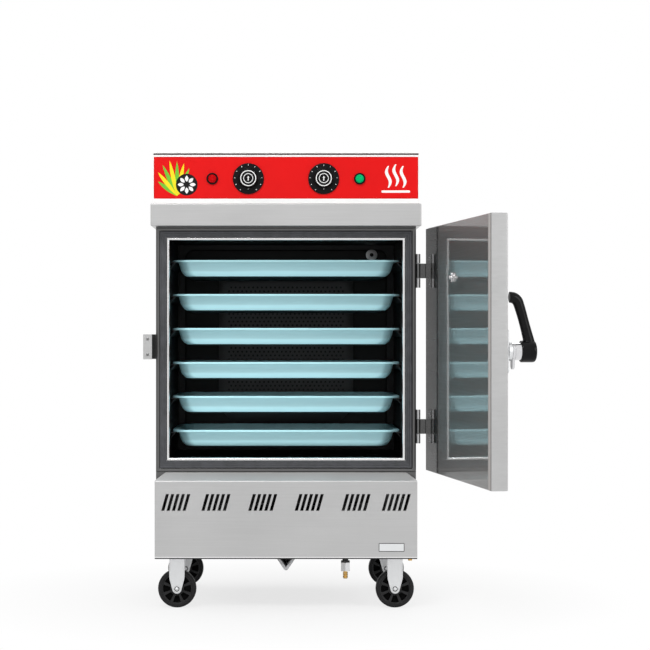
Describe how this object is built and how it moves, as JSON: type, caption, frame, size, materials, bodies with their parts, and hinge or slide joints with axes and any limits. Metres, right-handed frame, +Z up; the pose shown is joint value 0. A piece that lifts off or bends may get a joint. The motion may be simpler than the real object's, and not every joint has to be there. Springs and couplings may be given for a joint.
{
  "type": "rice steamer cabinet",
  "caption": "Wheeled steel steaming cabinet with a canopy, knob control panel, swing door on side hinges with a lever latch, and shallow trays on folded side racks.",
  "frame": {"origin": "centre of the lower face of the access cover under the base, on the cabinet's middle plane", "axes": "+Z up, +X to the cabinet's right seen from the front, +Y from the door opening to the back"},
  "size_m": [0.9394, 1.2133, 1.1815],
  "materials": {
    "brushed_steel": "brushed",
    "liner_steel": "bright drawn sheet",
    "door_liner_steel": "polished",
    "tray_steel": "satin under a blue-green film",
    "chrome": "polished",
    "zinc": "zinc plated",
    "brass": "turned",
    "cast_iron": "rough",
    "black_plastic": "semi-gloss",
    "silicone": "matt",
    "red_panel": "printed, satin",
    "red_lens": "gloss",
    "green_lens": "gloss",
    "wheel_rubber": "matt",
    "gutter_plastic": "matt",
    "mineral_wool": "fibrous",
    "label_foil": "satin foil"
  },
  "bodies": {
    "cabinet": {"base_skirt": "brushed_steel", "base_floor": "brushed_steel", "access_cover": "brushed_steel", "outer_shell": "brushed_steel", "chamber_liner": "liner_steel", "door_frame": "brushed_steel", "door_seal": "silicone", "wall_insulation": "mineral_wool", "rack_left": "liner_steel", "rack_right": "liner_steel", "rear_liner_panel": "liner_steel", "duct_panel": "liner_steel", "steam_port": "liner_steel", "water_tank": "liner_steel", "heating_element_left": "zinc", "heating_element_right": "zinc", "steam_plate": "liner_steel", "gas_burner": "cast_iron", "drain_gutter": "gutter_plastic", "gas_inlet_nut": "zinc", "gas_inlet_barb": "brass", "water_inlet": "brass", "canopy": "brushed_steel", "control_box": "brushed_steel", "control_panel": "red_panel", "timer_body": "zinc", "thermostat_body": "zinc", "lamp_red_bezel": "black_plastic", "lamp_red_lens": "red_lens", "lamp_green_bezel": "black_plastic", "lamp_green_lens": "green_lens", "strike_bracket": "brushed_steel", "hinge_upper_frame_leaf": "brushed_steel", "hinge_lower_frame_leaf": "brushed_steel", "caster_fork_fl": "zinc", "caster_fork_fr": "zinc", "caster_fork_rl": "zinc", "caster_fork_rr": "zinc", "rating_plate": "label_foil"},
    "door": {"door_outer_pan": "brushed_steel", "door_inner_panel": "door_liner_steel", "door_insulation": "mineral_wool", "hinge_upper_door_leaf": "brushed_steel", "hinge_lower_door_leaf": "brushed_steel", "relief_valve": "chrome", "handle_base": "chrome"},
    "handle": {"handle_lever": "black_plastic", "latch_cam": "chrome"},
    "timer_knob": {"timer_knob": "black_plastic"},
    "thermostat_knob": {"thermostat_knob": "black_plastic"},
    "tray_1": {"tray_1": "tray_steel"},
    "tray_2": {"tray_2": "tray_steel"},
    "tray_3": {"tray_3": "tray_steel"},
    "tray_4": {"tray_4": "tray_steel"},
    "tray_5": {"tray_5": "tray_steel"},
    "tray_6": {"tray_6": "tray_steel"},
    "wheel_fl": {"wheel_fl": "wheel_rubber"},
    "wheel_fr": {"wheel_fr": "wheel_rubber"},
    "wheel_rl": {"wheel_rl": "wheel_rubber"},
    "wheel_rr": {"wheel_rr": "wheel_rubber"}
  },
  "joints": [
    {"name": "door_swing", "type": "hinge", "parent": "cabinet", "child": "door", "pos_m": [0.3445, -0.238, 0.535], "axis": [0, 0, 1], "range_deg": [-98, 82]},
    {"name": "handle_turn", "type": "hinge", "parent": "door", "child": "handle", "pos_m": [0.50009, -0.87807, 0.53588], "axis": [0.9903, 0.1392, 0], "range_deg": [-90, 0]},
    {"name": "timer_turn", "type": "hinge", "parent": "cabinet", "child": "timer_knob", "pos_m": [-0.09707, -0.294, 0.976], "axis": [0, 1, 0], "range_deg": [0, 300]},
    {"name": "thermostat_turn", "type": "hinge", "parent": "cabinet", "child": "thermostat_knob", "pos_m": [0.09707, -0.294, 0.976], "axis": [0, 1, 0], "range_deg": [0, 300]},
    {"name": "tray_1_slide", "type": "slide", "parent": "cabinet", "child": "tray_1", "axis": [0, -1, 0], "range_m": [0, 0.32]},
    {"name": "tray_2_slide", "type": "slide", "parent": "cabinet", "child": "tray_2", "axis": [0, -1, 0], "range_m": [0, 0.32]},
    {"name": "tray_3_slide", "type": "slide", "parent": "cabinet", "child": "tray_3", "axis": [0, -1, 0], "range_m": [0, 0.32]},
    {"name": "tray_4_slide", "type": "slide", "parent": "cabinet", "child": "tray_4", "axis": [0, -1, 0], "range_m": [0, 0.32]},
    {"name": "tray_5_slide", "type": "slide", "parent": "cabinet", "child": "tray_5", "axis": [0, -1, 0], "range_m": [0, 0.32]},
    {"name": "tray_6_slide", "type": "slide", "parent": "cabinet", "child": "tray_6", "axis": [0, -1, 0], "range_m": [0, 0.32]},
    {"name": "wheel_fl_roll", "type": "hinge", "parent": "cabinet", "child": "wheel_fl", "pos_m": [-0.284, -0.2259, -0.088], "axis": [0, 1, 0], "continuous": true},
    {"name": "wheel_fr_roll", "type": "hinge", "parent": "cabinet", "child": "wheel_fr", "pos_m": [0.284, -0.2259, -0.088], "axis": [0, 1, 0], "continuous": true},
    {"name": "wheel_rl_roll", "type": "hinge", "parent": "cabinet", "child": "wheel_rl", "pos_m": [-0.284, 0.2241, -0.088], "axis": [0, 1, 0], "continuous": true},
    {"name": "wheel_rr_roll", "type": "hinge", "parent": "cabinet", "child": "wheel_rr", "pos_m": [0.284, 0.2241, -0.088], "axis": [0, 1, 0], "continuous": true}
  ]
}
